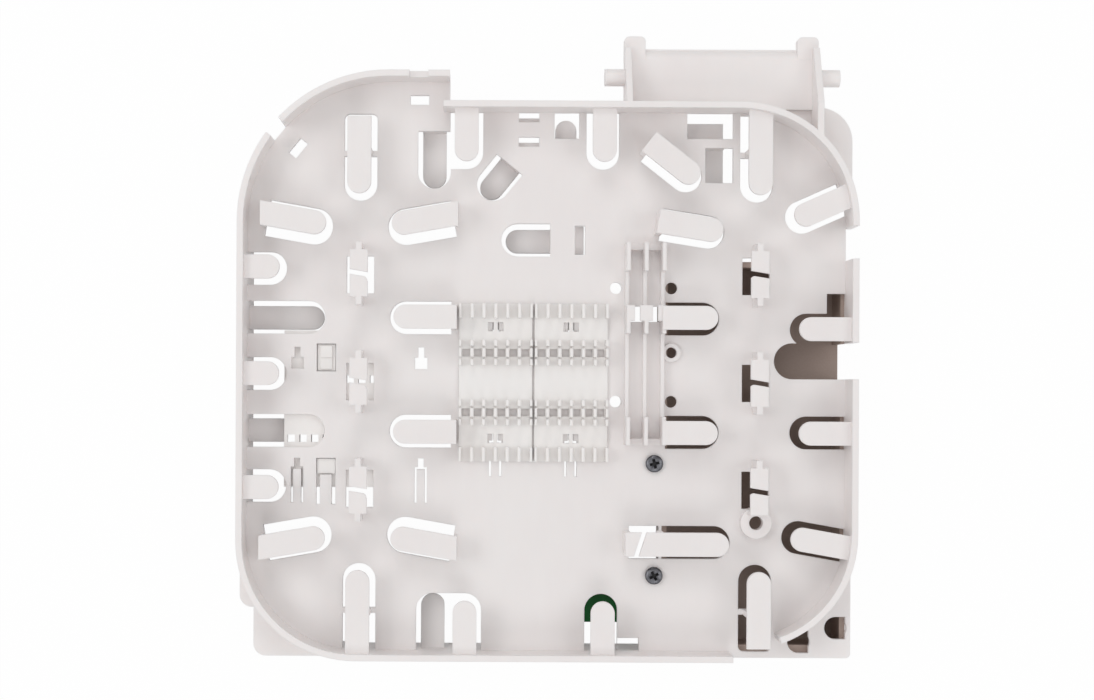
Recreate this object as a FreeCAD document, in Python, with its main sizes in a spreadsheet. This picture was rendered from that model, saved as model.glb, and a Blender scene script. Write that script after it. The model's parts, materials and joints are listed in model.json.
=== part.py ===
import FreeCAD, Part
import os
import re

# Double-sided fibre splice tray that swings on two hinge pins.
# It carries splice holders, a rear cover and an optical adapter.
# Millimetres. Seen from the open side: x to the right, y towards the hinge, z up out of the tray.
# The underside of the skirts stands at z = 0.

doc = FreeCAD.newDocument("SpliceClosure")
sheet = doc.addObject("Spreadsheet::Sheet", "Sizes")

sizes = {
    # Tray: edges measured from the middle of the tray
    "tray_width": 197.0,
    "tray_top": 77.6,
    "tray_bottom": 100.0,
    "floor_thickness": 2.0,
    "skirt_depth": 16.0,
    "wall_height": 12.0,
    "wall_thickness": 2.0,
    # Curved corners of the wall
    "bend_radius": 38.0,
    "entry_radius": 48.0,
    "entry_rise": 9.6,
    "entry_end": 31.3,
    "hinge_bend_radius": 37.4,
    "exit_radius": 36.5,
    "exit_rise": 4.0,
    "exit_sweep": 70.0,
    "bottom_wall_end": 59.2,
    # Corners of the floor outside the walls
    "lobe_step_across": 4.5,
    "lobe_step_up": 15.7,
    "lobe_radius": 4.0,
    "hinge_floor_radius": 11.0,
    "exit_floor_radius": 1.5,
    # Openings in the wall
    "latch_gap": 6.0,
    "latch_notch": 2.9,
    "latch_hole_depth": 3.1,
    "latch_hole_inset": 6.2,
    "latch_turn": 140.5,
    "arc_latch_inset": 7.9,
    "side_gap_top": 38.5,
    "side_gap_bottom": 28.1,
    "port_center": -4.3,
    "port_width": 11.6,
    "port_reach": 25.0,
    "side_window_center": 13.8,
    "side_window_width": 7.4,
    "side_window_reach": 6.0,
    # Retaining fingers
    "finger_width": 7.6,
    "finger_gap": 1.5,
    "finger_thickness": 1.6,
    "finger_height": 9.7,
    "finger_post": 1.8,
    "rear_finger_drop": 6.0,
    "left_column_inset": 38.5,
    "right_column_inset": 30.9,
    "upper_row": 9.2,
    "lower_row": -27.4,
    "side_reach": 12.8,
    "side_row_top": 24.9,
    "side_row_middle": -9.0,
    "side_row_low": -45.2,
    "rear_side_reach": 25.2,
    "right_reach": 17.9,
    "right_row_top": 5.8,
    "corner_reach": 28.0,
    "corner_bar": 12.8,
    "corner_gap": 2.0,
    "corner_round": 1.8,
    "tilt_angle": 10.0,
    "tilt_reach": 21.3,
    "tilt_inset": 8.5,
    "tilt_root": 1.5,
    "tilt_slot_extra": 1.2,
    "tilt_top": 41.8,
    "tilt_low_gap": 13.6,
    "exit_tilt_reach": 20.6,
    "exit_tilt_drop": 4.3,
    "hinge_tilt_angle": 204.0,
    "hinge_tilt_reach": 20.0,
    "hinge_tilt_turn": 13.0,
    "middle_left": -25.9,
    "middle_right": 18.0,
    "middle_reach": 18.4,
    "slant_angle": -38.0,
    "slant_reach": 19.5,
    "slant_inset": 13.5,
    "slant_across": 33.48,
    "channel_tilt_angle": -9.0,
    "channel_tilt_reach": 20.5,
    "channel_tilt_rise": 6.4,
    "holder_finger_reach": 19.8,
    "channel_finger_reach": 17.3,
    "low_row": -62.9,
    "low_finger_reach": 22.0,
    # Pairs of facing fingers
    "pair_center": 23.0,
    "pair_pitch": 34.5,
    "pair_width": 5.7,
    "pair_length": 15.0,
    "pair_slot_width": 8.8,
    "pair_slot_length": 12.0,
    "pair_stem_width": 1.9,
    "pair_stem_length": 3.2,
    "pair_gap": 1.5,
    "pair_gap_turn": 9.5,
    "pair_round": 1.3,
    "low_pair_length": 9.7,
    "low_pair_turn": 72.0,
    "low_pair_shift": 1.9,
    # Fingers on the underside
    "rear_left": -36.3,
    "rear_root_inset": 8.2,
    "rear_reach": 18.5,
    "rear_slant_angle": 231.0,
    "rear_slant_reach": 13.6,
    "rear_slant_across": -12.0,
    "rear_slant_inset": 18.8,
    "rear_middle_across": 1.2,
    "rear_middle_row": 34.4,
    "rear_middle_reach": 15.8,
    # Windows in the floor
    "tie_width": 6.6,
    "tie_depth": 3.1,
    "tie_across": -5.8,
    "tie_inset": 2.0,
    "tie_pitch": 7.9,
    "tie_ledge": 1.2,
    "short_window_width": 8.0,
    "short_window_depth": 8.4,
    "short_window_across": 6.4,
    "short_finger_width": 6.8,
    "short_finger_reach": 6.2,
    "short_finger_drop": 3.0,
    "short_finger_shift": 0.2,
    "slit_window_width": 3.3,
    "slit_window_length": 9.4,
    "slit_window_across": 10.8,
    "slit_shelf": 1.2,
    "slit_gap": 0.4,
    "pass_window_across": 60.1,
    "pass_window_width": 14.9,
    "pass_window_depth": 8.3,
    "pass_bar": 2.9,
    "pass_lower_width": 9.0,
    "pass_lower_depth": 11.3,
    "pass_gap": 2.6,
    "exit_hole_radius": 3.6,
    "exit_hole_length": 6.8,
    "exit_hole_inset": 1.6,
    "exit_hole_up": 9.7,
    "exit_slot_across": 13.5,
    "exit_slot_up": 5.2,
    "clip_window_width": 6.9,
    "clip_window_depth": 4.2,
    "clip_window_offset": 8.8,
    # Splitter channels
    "channel_center": 31.55,
    "channel_width": 4.5,
    "channel_wall": 1.2,
    "channel_top": 33.2,
    "channel_length": 64.6,
    "channel_low_height": 3.0,
    "channel_high_height": 9.0,
    "channel_jaw": 9.0,
    "channel_lip": 1.4,
    "channel_lip_length": 5.0,
    "channel_lip_height": 1.8,
    "channel_stop": 2.0,
    # Fixing holes
    "fixing_radius": 1.9,
    "fixing_pitch_across": 17.9,
    "fixing_pitch_along": 36.6,
    "fixing_across": 31.35,
    "fixing_along": 0.75,
    "guide_along": -1.74,
    "guide_radius": 1.75,
    "guide_boss_radius": 3.0,
    "guide_boss_height": 1.0,
    "boss_radius": 5.0,
    "boss_hole_radius": 2.2,
    "boss_along": -56.4,
    "boss_height": 2.5,
    # Hinge trough and pins
    "trough_inset": 11.3,
    "trough_width": 62.5,
    "trough_depth": 18.6,
    "trough_lift": 1.5,
    "trough_edge": 4.0,
    "arm_tip_height": 2.0,
    "ear_width": 6.8,
    "ear_length": 3.8,
    "ear_radius": 1.6,
    "pin_radius": 2.75,
    "pin_length": 6.4,
    "pin_along": 8.9,
    "pin_lift": 2.4,
    # Splice holders
    "holder_ways": 6,
    "rear_holder_ways": 8,
    "holder_pitch": 3.8,
    "holder_rib": 0.8,
    "holder_length": 50.6,
    "holder_base": 1.0,
    "holder_rib_height": 4.6,
    "holder_bead": 0.6,
    "holder_space": 0.7,
    "holder_end_zone": 4.6,
    "holder_grip_zone": 8.2,
    "holder_grip_offset": 9.6,
    "holder_nick": 0.7,
    "holder_nick_offset": 1.75,
    "holder_center": -11.6,
    "holder_window": 2.4,
    "holder_eye_width": 1.9,
    "holder_eye_length": 2.9,
    "holder_eye_offset": 18.0,
    "foot_inset": 7.0,
    "foot_width": 1.5,
    "foot_length": 2.4,
    "foot_head": 3.2,
    "foot_head_height": 1.0,
    "foot_clearance": 0.2,
    "fork_inset": 8.0,
    "key_width": 4.0,
    "key_length": 3.7,
    "key_neck": 3.3,
    "fork_slit": 0.7,
    "fork_pitch": 3.3,
    "fork_overhang": 5.0,
    "spare_across": -40.3,
    "side_spare_inset": 18.3,
    "rear_holder_inset": 29.5,
    "rear_holder_space": 0.4,
    "rear_window_width": 6.2,
    "rear_window_depth": 8.9,
    "rear_window_top": 4.3,
    "rear_fork_depth": 14.9,
    "rear_fork_top": 41.2,
    "rear_tongue_width": 3.8,
    "rear_tongue_length": 9.6,
    "rear_foot_edge": 1.0,
    "rear_foot_step": 0.5,
    # Rear cover and its screws
    "cover_inset": 1.4,
    "cover_top": 27.8,
    "cover_space": 0.2,
    "cover_wall": 1.8,
    "cover_plate": 2.0,
    "cover_partition": 37.5,
    "cover_boss_radius": 3.2,
    "screw_across": 35.0,
    "screw_top": -37.5,
    "screw_pitch": 36.1,
    "screw_radius": 1.4,
    "screw_clearance": 0.2,
    "screw_pilot_gap": 0.05,
    "screw_length": 10.0,
    "screw_head_radius": 2.8,
    "screw_head_height": 1.9,
    "screw_recess_width": 0.8,
    "screw_recess_length": 3.2,
    "screw_recess_depth": 1.1,
    # Adapter, its panel and its inner pieces
    "adapter_width": 12.7,
    "adapter_height": 9.3,
    "adapter_length": 27.4,
    "adapter_end": 10.7,
    "adapter_level": 8.2,
    "adapter_wall": 1.2,
    "adapter_web": 2.4,
    "adapter_flange_width": 17.4,
    "adapter_flange": 2.0,
    "adapter_flange_up": 11.7,
    "adapter_key_width": 2.6,
    "adapter_key_length": 6.0,
    "panel_width": 18.4,
    "panel_thickness": 1.6,
    "panel_clearance": 0.2,
    "strip_thickness": 0.35,
    "strip_width": 5.0,
    "strip_wing_turn": 14.0,
    "strip_wing_length": 4.4,
    "latch_plate": 1.2,
    "latch_fit": 0.15,
    "latch_tube_radius": 2.2,
    "latch_tube_length": 4.6,
    "latch_tube_lip": 0.8,
    "latch_tube_mouth": 1.3,
    "latch_arm": 1.0,
    "latch_arm_height": 3.0,
    "latch_arm_length": 8.6,
    "latch_hook": 0.6,
    "latch_hook_length": 1.4,
    "sleeve_radius": 1.6,
    "sleeve_bore": 1.25,
    "sleeve_space": 0.05,
    "sleeve_slit": 0.5,
}

for number, (alias, value) in enumerate(sizes.items(), start=1):
    sheet.set("A%d" % number, alias)
    sheet.set("B%d" % number, str(value))
    sheet.setAlias("B%d" % number, alias)
doc.recompute()

# Lines and levels that many features share
left = "(-tray_width / 2)"
right = "(tray_width / 2)"
top = "tray_top"
bottom = "(-tray_bottom)"
under = "skirt_depth"
floor = "(skirt_depth + floor_thickness)"
rim = "(skirt_depth + floor_thickness + wall_height)"
finger_top = "(skirt_depth + floor_thickness + finger_height)"
slot_width = "(finger_width + 2 * finger_gap)"
cut_low = "(skirt_depth - 1)"
cut_depth = "(floor_thickness + 2)"
post_low = "(skirt_depth + floor_thickness / 2)"
post_height = "(finger_height + floor_thickness / 2)"
standing = "(floor_thickness + wall_height)"
left_column = "(-tray_width / 2 + left_column_inset)"
right_column = "(tray_width / 2 - right_column_inset)"
rear_holder_x = "(-tray_width / 2 + rear_holder_inset)"
rear_top = "(upper_row - finger_width / 2 - rear_holder_space)"


def cells(text):
    return re.sub(r"[a-z]+(?:_[a-z]+)+", lambda word: "Sizes." + word.group(0), text)


def bind(thing, values):
    for name, text in values.items():
        thing.setExpression(name, cells(text))
    return thing


def place(thing, x, y, z, turn="0"):
    bind(thing, {"Placement.Base.x": x, "Placement.Base.y": y, "Placement.Base.z": z})
    if turn != "0":
        bind(thing, {"Placement.Rotation.Angle": turn})
    return thing


def box(x, y, z, length, width, height):
    block = doc.addObject("Part::Box", "Block")
    bind(block, {"Length": length, "Width": width, "Height": height})
    return place(block, x, y, z)


def span(low_x, high_x, low_y, high_y, low_z, high_z):
    return box(low_x, low_y, low_z, "%s - (%s)" % (high_x, low_x), "%s - (%s)" % (high_y, low_y),
               "%s - (%s)" % (high_z, low_z))


def middle_box(x, y, z, length, width, height):
    return box("%s - (%s) / 2" % (x, length), "%s - (%s) / 2" % (y, width), z, length, width, height)


def cylinder(x, y, z, radius, height):
    rod = doc.addObject("Part::Cylinder", "Rod")
    bind(rod, {"Radius": radius, "Height": height})
    return place(rod, x, y, z)


def sector(x, y, z, radius, height, start, sweep):
    wedge = doc.addObject("Part::Cylinder", "Sector")
    bind(wedge, {"Radius": radius, "Height": height, "Angle": sweep})
    return place(wedge, x, y, z, start)


def lying_rod(x, y, z, radius, length, along):
    rod = doc.addObject("Part::Cylinder", "LyingRod")
    if along == "x":
        rod.Placement.Rotation = FreeCAD.Rotation(FreeCAD.Vector(0, 1, 0), 90)
    else:
        rod.Placement.Rotation = FreeCAD.Rotation(FreeCAD.Vector(1, 0, 0), -90)
    bind(rod, {"Radius": radius, "Height": length})
    return place(rod, x, y, z)


def beam(x, y, z, turn, start, length, width, height):
    bar = doc.addObject("Part::Box", "Beam")
    bind(bar, {"Length": length, "Width": width, "Height": height})
    corner_x = "%s + (%s) * cos(%s) + (%s) / 2 * sin(%s)" % (x, start, turn, width, turn)
    corner_y = "%s + (%s) * sin(%s) - (%s) / 2 * cos(%s)" % (y, start, turn, width, turn)
    return place(bar, corner_x, corner_y, z, turn)


def tongue(x, y, z, turn, start, reach, width, height):
    straight = "%s - (%s) / 2 - (%s)" % (reach, width, start)
    bar = beam(x, y, z, turn, start, straight, width, height)
    tip_x = "%s + (%s - (%s) / 2) * cos(%s)" % (x, reach, width, turn)
    tip_y = "%s + (%s - (%s) / 2) * sin(%s)" % (y, reach, width, turn)
    tip = cylinder(tip_x, tip_y, z, "(%s) / 2" % width, height)
    return [bar, tip]


def fuse(name, members):
    joined = doc.addObject("Part::MultiFuse", name)
    joined.Shapes = members
    return joined


def cut(name, base, members):
    tool = members[0]
    if len(members) > 1:
        tool = fuse(name + "Tools", members)
    result = doc.addObject("Part::Cut", name)
    result.Base = base
    result.Tool = tool
    return result


def ring(name, x, y, z, radius, height, start, sweep):
    outside = sector(x, y, z, radius, height, start, sweep)
    inside = cylinder(x, y, "%s - 1" % z, "%s - wall_thickness" % radius, "%s + 2" % height)
    return cut(name, outside, [inside])


def corner_waste(name, x, y, radius, side_x, side_y):
    low_x = x if side_x > 0 else "%s - %s" % (x, radius)
    low_y = y if side_y > 0 else "%s - %s" % (y, radius)
    square = box(low_x, low_y, cut_low, radius, radius, cut_depth)
    return cut(name, square, [cylinder(x, y, "%s - 2" % under, radius, "floor_thickness + 4")])


# Floor of the tray
entry_x = "(-tray_width / 2 + entry_radius)"
entry_y = "(tray_top + entry_rise - entry_radius)"
entry_top = "(tray_top + entry_rise)"
hinge_x = "(tray_width / 2 - hinge_bend_radius)"
hinge_y = "(tray_top - hinge_bend_radius)"
bend_x = "(-tray_width / 2 + bend_radius)"
bend_y = "(-tray_bottom + bend_radius)"
exit_x = "(tray_width / 2 - exit_radius)"
exit_y = "(-tray_bottom + exit_rise + exit_radius)"

floor_blank = fuse("FloorBlank", [
    span(entry_x, right, bottom, top, under, floor),
    span(left, entry_x, bottom, entry_y, under, floor),
    sector(entry_x, entry_y, under, "entry_radius", "floor_thickness", "90", "90"),
    span(entry_x, "-entry_end", entry_y, entry_top, under, floor),
])

slots = []
fingers = []
notches = []


def opening(low_x, high_x, low_y, high_y):
    slots.append(span(low_x, high_x, low_y, high_y, cut_low, "%s + 1" % floor))


def hole(x, y, radius):
    slots.append(cylinder(x, y, cut_low, radius, cut_depth))


def slot(x, y, turn, reach, width):
    slots.extend(tongue(x, y, cut_low, turn, "0", reach, width, cut_depth))


def upper_finger(x, y, turn, reach, post):
    level = "%s - finger_thickness" % finger_top
    slot(x, y, turn, reach, slot_width)
    root = "-finger_post" if post else "-wall_thickness / 2"
    tip = "%s - finger_gap" % reach
    fingers.extend(tongue(x, y, level, turn, root, tip, "finger_width", "finger_thickness"))
    if post:
        fingers.append(beam(x, y, post_low, turn, root, "finger_post", "finger_width", post_height))


# A finger at an angle, whose root is trimmed square to the tray on the given side
def tilted_finger(x, y, turn, extra, side):
    level = "%s - finger_thickness" % finger_top
    slot(x, "(%s + (%s) / 2)" % (y, extra), turn, "tilt_reach", "(%s + abs(%s))" % (slot_width, extra))
    members = tongue(x, y, level, turn, "-2 * finger_post", "tilt_reach - finger_gap", "finger_width",
                     "finger_thickness")
    members.append(beam(x, y, post_low, turn, "-2 * finger_post", "2 * finger_post", "finger_width",
                        post_height))
    edge = "(%s + %d * tilt_root)" % (x, side)
    low_x = edge if side > 0 else "(%s - finger_width)" % edge
    waste = span(low_x, "%s + finger_width" % low_x, "%s - finger_width" % y, "%s + finger_width" % y,
                 "%s - 1" % post_low, "%s + 1" % rim)
    fingers.append(cut("TrimmedFinger", fuse("TiltedFinger", members), [waste]))


def rear_finger(x, y, turn, reach, tip, post, blunt=False):
    level = "%s - rear_finger_drop - finger_thickness" % floor
    slot(x, y, turn, reach, slot_width)
    root = "-finger_post" if post else "-wall_thickness / 2"
    if blunt:
        fingers.append(beam(x, y, level, turn, root, "%s - (%s)" % (tip, root), "finger_width",
                            "finger_thickness"))
    else:
        fingers.extend(tongue(x, y, level, turn, root, tip, "finger_width", "finger_thickness"))
    if post:
        fingers.append(beam(x, y, level, turn, root, "finger_post", "finger_width",
                            "rear_finger_drop + finger_thickness - floor_thickness / 2"))


def corner_finger(x, y, turn, joined):
    level = "%s - finger_thickness" % finger_top
    start = "-wall_thickness / 2" if joined else "corner_gap"
    if joined:
        slot(x, y, turn, "corner_reach", slot_width)
    else:
        slots.extend(tongue(x, y, cut_low, turn, "corner_round", "corner_reach", slot_width, cut_depth))
        slots.append(beam(x, y, cut_low, turn, "0", "2 * corner_round", "%s - 2 * corner_round" % slot_width,
                          cut_depth))
        for side in (-1, 1):
            across = "%d * (%s / 2 - corner_round)" % (side, slot_width)
            hole("(%s + corner_round * cos(%s) - %s * sin(%s))" % (x, turn, across, turn),
                 "(%s + corner_round * sin(%s) + %s * cos(%s))" % (y, turn, across, turn), "corner_round")
    fingers.extend(tongue(x, y, level, turn, start, "corner_reach - finger_gap", "finger_width",
                          "finger_thickness"))
    fingers.append(beam(x, y, under, turn, "corner_bar - finger_post / 2", "finger_post",
                        "%s + finger_gap" % slot_width, "floor_thickness"))
    fingers.append(beam(x, y, post_low, turn, "corner_bar - finger_post / 2",
                        "finger_post", "finger_width", post_height))


# Fingers along the left wall
inner_left = "(-tray_width / 2 + wall_thickness)"
inner_right = "(tray_width / 2 - wall_thickness)"
inner_top = "(tray_top - wall_thickness)"
inner_bottom = "(-tray_bottom + wall_thickness)"
for row in ("side_row_top", "side_row_middle", "side_row_low"):
    upper_finger(inner_left, row, "0", "side_reach", False)

holder_width = "(holder_ways * holder_pitch + holder_rib)"
rear_half = "(rear_holder_ways * holder_pitch + holder_rib) / 2"
rear_finger(inner_left, "upper_row", "0", "rear_side_reach", "rear_side_reach - finger_gap / 2", False)
rear_finger(inner_left, "lower_row", "0", "rear_side_reach",
            "%s - %s - rear_holder_space - %s" % (rear_holder_x, rear_half, inner_left), False, True)

# Tilted fingers in facing pairs
tilt_x = "(-tray_width / 2 + tilt_inset)"
far_tilt_x = "(2 * %s - %s)" % (left_column, tilt_x)
tilt_low = "(%s - holder_length - fork_overhang - tilt_low_gap)" % rear_top
tilted_finger(tilt_x, "tilt_top", "-tilt_angle", "-tilt_slot_extra", -1)
tilted_finger(far_tilt_x, "tilt_top", "(180 + tilt_angle)", "-tilt_slot_extra", 1)
tilted_finger(tilt_x, tilt_low, "tilt_angle", "tilt_slot_extra", -1)
tilted_finger(far_tilt_x, tilt_low, "(180 - tilt_angle)", "tilt_slot_extra", 1)

# Long fingers in the four corners
corner_top = "(tray_top - wall_thickness - finger_gap / 2)"
corner_finger(left_column, corner_top, "270", False)
corner_finger(right_column, corner_top, "270", True)
corner_finger(left_column, inner_bottom, "90", True)
corner_finger(right_column, inner_bottom, "90", False)

# Fingers along the top and bottom walls
for column in ("middle_left", "middle_right"):
    upper_finger(column, inner_top, "270", "middle_reach", False)
    upper_finger(column, inner_bottom, "90", "middle_reach", False)
rear_finger("rear_left", "(tray_top - rear_root_inset)", "270", "rear_reach",
            "rear_reach - finger_gap / 2", True)
opening("rear_left", "middle_left", "%s - middle_reach" % inner_top,
        "%s - middle_reach + %s / 2" % (inner_top, slot_width))
rear_finger("rear_left", inner_bottom, "90", "middle_reach", "middle_reach - finger_gap / 2", False)
opening("rear_left", "middle_left", "%s + middle_reach - %s / 2" % (inner_bottom, slot_width),
        "%s + middle_reach" % inner_bottom)
rear_finger("rear_slant_across", "(tray_top - rear_slant_inset)", "rear_slant_angle", "rear_slant_reach",
            "rear_slant_reach - finger_gap / 2", True)
rear_finger("rear_middle_across", "rear_middle_row", "180", "rear_middle_reach",
            "rear_middle_reach - finger_gap", True)

# Fingers on the right wall
upper_finger(inner_right, "right_row_top", "180", "right_reach", False)
upper_finger(inner_right, "lower_row", "180", "right_reach", False)
upper_finger(inner_right, "(%s - exit_tilt_drop)" % exit_y, "(180 - tilt_angle)", "exit_tilt_reach", False)
upper_finger("(%s + (hinge_bend_radius - wall_thickness) * cos(hinge_tilt_turn))" % hinge_x,
             "(%s + (hinge_bend_radius - wall_thickness) * sin(hinge_tilt_turn))" % hinge_y,
             "hinge_tilt_angle", "hinge_tilt_reach", False)

# Fingers beside the splitter channels and the splice holders
channel_left = "(channel_center - channel_width - 1.5 * channel_wall)"
channel_right = "(channel_center + channel_width + 1.5 * channel_wall)"
holder_right_edge = "(fixing_across - fixing_pitch_across / 2 - fixing_radius - holder_space)"
holder_left_edge = "(%s - 2 * %s - holder_space)" % (holder_right_edge, holder_width)
upper_finger("slant_across", "(tray_top - slant_inset)", "slant_angle", "slant_reach", True)
upper_finger("(%s - finger_post / 2)" % channel_right, "(channel_top + channel_tilt_rise)",
             "channel_tilt_angle", "channel_tilt_reach", True)
channel_finger_x = "(%s - channel_wall + finger_post)" % channel_right
upper_finger(channel_finger_x, "upper_row", "0", "channel_finger_reach", True)
upper_finger(channel_finger_x, "lower_row", "0", "channel_finger_reach", True)
holder_finger_x = "(%s - holder_space - finger_post)" % holder_left_edge
upper_finger(holder_finger_x, "upper_row", "180", "holder_finger_reach", True)
upper_finger(holder_finger_x, "lower_row", "180", "holder_finger_reach", True)
upper_finger("cover_partition", "low_row", "0", "low_finger_reach", True)


# Pairs of facing fingers with a slanted gap
def facing_pair(x, y, turn, length, width, opening_length, opening_width, gap_turn, shift, stems, rounds):
    level = "%s - finger_thickness" % finger_top
    slots.append(beam(x, y, cut_low, turn, "-(%s) / 2" % opening_length, opening_length,
                      opening_width, cut_depth))
    plate = beam(x, y, level, turn, "-(%s) / 2" % length, length, width, "finger_thickness")
    gap = beam("%s - %s" % (x, shift), y, "%s - 1" % level, gap_turn, "-(%s)" % width,
               "2 * %s" % width, "pair_gap", "finger_thickness + 2")
    wastes = [gap]
    for side in rounds:
        edge_x = "(%s + %d * (%s) / 2)" % (x, side, width)
        edge_y = "(%s + %d * (%s) / 2 * tan(%s) - pair_gap / 2 / cos(%s))" % (y, side, width, gap_turn,
                                                                           gap_turn)
        square = beam("%s + pair_round / 2 * sin(%s)" % (edge_x, gap_turn),
                      "%s - pair_round / 2 * cos(%s)" % (edge_y, gap_turn), "%s - 1" % level, gap_turn,
                      "-pair_round", "2 * pair_round", "pair_round", "finger_thickness + 2")
        center_x = "%s + pair_round * (sin(%s) - %d * cos(%s))" % (edge_x, gap_turn, side, gap_turn)
        center_y = "%s - pair_round * (cos(%s) + %d * sin(%s))" % (edge_y, gap_turn, side, gap_turn)
        kept = cylinder(center_x, center_y, "%s - 2" % level, "pair_round", "finger_thickness + 4")
        wastes.append(cut("PairCorner", square, [kept]))
    fingers.append(cut("FacingPair", plate, wastes))
    for start in stems:
        fingers.append(beam(x, y, post_low, turn, start, "pair_stem_length", "pair_stem_width",
                            post_height))


upper_stem = "pair_length / 2 - pair_gap / 2"
lower_stem = "pair_gap / 2 - pair_length / 2 - pair_stem_length"
for column in (left_column, right_column):
    for step in range(3):
        row = "(pair_center - %d * pair_pitch)" % step
        by_boss = column == right_column and step == 2
        stems = [upper_stem] if by_boss else [upper_stem, lower_stem]
        facing_pair(column, row, "90", "pair_length", "pair_width", "pair_slot_length", "pair_slot_width",
                    "(-pair_gap_turn)", "0", stems, (1,) if column == left_column else (-1,))
        if by_boss:
            fingers.append(beam(column, row, post_low, "90", "-pair_length / 2",
                                "(pair_length - pair_slot_length) / 2", "pair_width", post_height))
low_pair_x = "(cover_partition - finger_post / 2 - low_pair_length / 2)"
facing_pair(low_pair_x, "low_row", "0", "low_pair_length + 2 * finger_post", "finger_width",
            "low_pair_length", slot_width, "low_pair_turn", "low_pair_shift", (), ())
fingers.append(beam(low_pair_x, "low_row", post_low, "0", "-low_pair_length / 2 - finger_post",
                    "finger_post", "finger_width", post_height))

# Windows in the floor
latch_mid_x = "(-entry_end - latch_gap / 2 - wall_thickness - entry_rise / 2)"
opening("%s - latch_gap / 2" % latch_mid_x, "%s + latch_gap / 2" % latch_mid_x,
        "%s - latch_hole_inset - latch_hole_depth" % entry_top, "%s - latch_hole_inset" % entry_top)
slots.append(beam(entry_x, entry_y, cut_low, "latch_turn",
                  "entry_radius - arc_latch_inset - latch_hole_depth", "latch_hole_depth",
                  "latch_gap", cut_depth))
slots.append(beam(entry_x, entry_y, cut_low, "latch_turn", "entry_radius - wall_thickness",
                  "wall_thickness + 1", "latch_gap", cut_depth))
for step in range(2):
    tie_top = "tray_top - tie_inset - %d * tie_pitch" % step
    tie_left = "(tie_across - tie_width / 2)"
    tie_right = "(tie_across + tie_width / 2)"
    opening(tie_left, tie_right, "%s - tie_depth" % tie_top, tie_top)
    ledge_y = "%s - tie_depth - tie_ledge" % tie_top
    ledge_z = "%s - 2 * tie_ledge" % under
    fingers.append(span(tie_left, tie_right, ledge_y, "%s - tie_depth" % tie_top, ledge_z, post_low))
    fingers.append(span(tie_left, tie_right, ledge_y, "%s - tie_depth / 2" % tie_top, ledge_z,
                        "%s - tie_ledge / 2" % under))
opening("short_window_across - short_window_width / 2", "short_window_across + short_window_width / 2",
        "%s - short_window_depth" % inner_top, inner_top)
slit_left = "(slit_window_across - slit_window_width / 2)"
slit_right = "(slit_window_across + slit_window_width / 2)"
slit_low = "(rear_middle_row - slit_window_length / 2)"
slit_high = "(rear_middle_row + slit_window_length / 2)"
opening(slit_left, slit_right, slit_low, slit_high)
shelf_low = "%s - 2 * slit_shelf" % under
fingers.append(span("%s - slit_shelf" % slit_left, slit_left, slit_low, slit_high, shelf_low, post_low))
fingers.append(span("%s - slit_shelf" % slit_left, "%s - slit_gap" % slit_right, "%s + slit_gap" % slit_low,
                    slit_high, shelf_low, "%s - slit_shelf / 2" % under))
pass_mid = "(tray_top - wall_thickness - pass_window_depth)"
pass_low = "(tray_top - wall_thickness - pass_window_depth - pass_bar - pass_lower_depth)"
opening("pass_window_across - pass_window_width", "pass_window_across", pass_mid, inner_top)
opening("pass_window_across - pass_lower_width", "pass_window_across", pass_low,
        "%s - pass_bar" % pass_mid)
opening("%s - side_window_reach" % inner_right, inner_right, "side_window_center - side_window_width / 2",
        "side_window_center + side_window_width / 2")
clip_window_x = "(middle_right + clip_window_offset)"
opening("%s - clip_window_width / 2" % clip_window_x, "%s + clip_window_width / 2" % clip_window_x,
        inner_bottom, "%s + clip_window_depth" % inner_bottom)

# Short fingers under the windows by the hinge
rear_level = "(skirt_depth + floor_thickness - rear_finger_drop - finger_thickness)"
rear_plate_top = "(skirt_depth + floor_thickness - rear_finger_drop)"
short_root = "(tray_top - wall_thickness - short_window_depth)"
short_x = "(short_window_across - short_finger_shift)"
short_level = "(skirt_depth + floor_thickness - short_finger_drop - finger_thickness)"
fingers.extend(tongue(short_x, short_root, short_level, "90", "-finger_post", "short_finger_reach",
                      "short_finger_width", "finger_thickness"))
fingers.append(beam(short_x, short_root, short_level, "90", "-finger_post", "finger_post",
                    "short_finger_width", "short_finger_drop + finger_thickness - floor_thickness / 2"))
pass_left = "(pass_window_across - pass_window_width + finger_gap / 2)"
pass_lower_left = "(pass_window_across - pass_lower_width + finger_gap / 2)"
pass_right = "(pass_window_across - pass_gap)"
pass_root = "(%s - pass_bar)" % pass_mid
fingers.append(span(pass_left, pass_right, pass_root, "%s + pass_window_depth - pass_gap" % pass_mid,
                    rear_level, rear_plate_top))
fingers.append(span(pass_lower_left, pass_right, pass_low, pass_mid, rear_level, rear_plate_top))
fingers.append(span(pass_left, pass_right, pass_root, pass_mid, rear_level, post_low))

# Fibre port in the right wall, with a round inner end
slots.extend(tongue("%s + 1" % right, "port_center", cut_low, "180", "0", "port_reach + 1",
                    "port_width", cut_depth))
notches.append(span("%s - 1" % inner_right, "%s + 1" % right, "port_center - port_width / 2",
                    "port_center + port_width / 2", cut_low, "%s + 1" % rim))
slots.append(span(inner_right, "%s + 1" % right, "side_gap_bottom", "side_gap_top", cut_low,
                  "%s + 1" % floor))
notches.append(span("%s - 1" % inner_right, "%s + 1" % right, "side_gap_bottom", "side_gap_top", cut_low,
                    "%s + 1" % rim))

# Round holes with one flat side at the exit corner
slot("(tray_width / 2 - exit_hole_inset)", "(-tray_bottom + exit_hole_up)", "180", "exit_hole_length",
     "2 * exit_hole_radius")
slot("(tray_width / 2 - exit_slot_across)", "(-tray_bottom + exit_slot_up)", "180", "exit_hole_length",
     "2 * exit_hole_radius")

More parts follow.
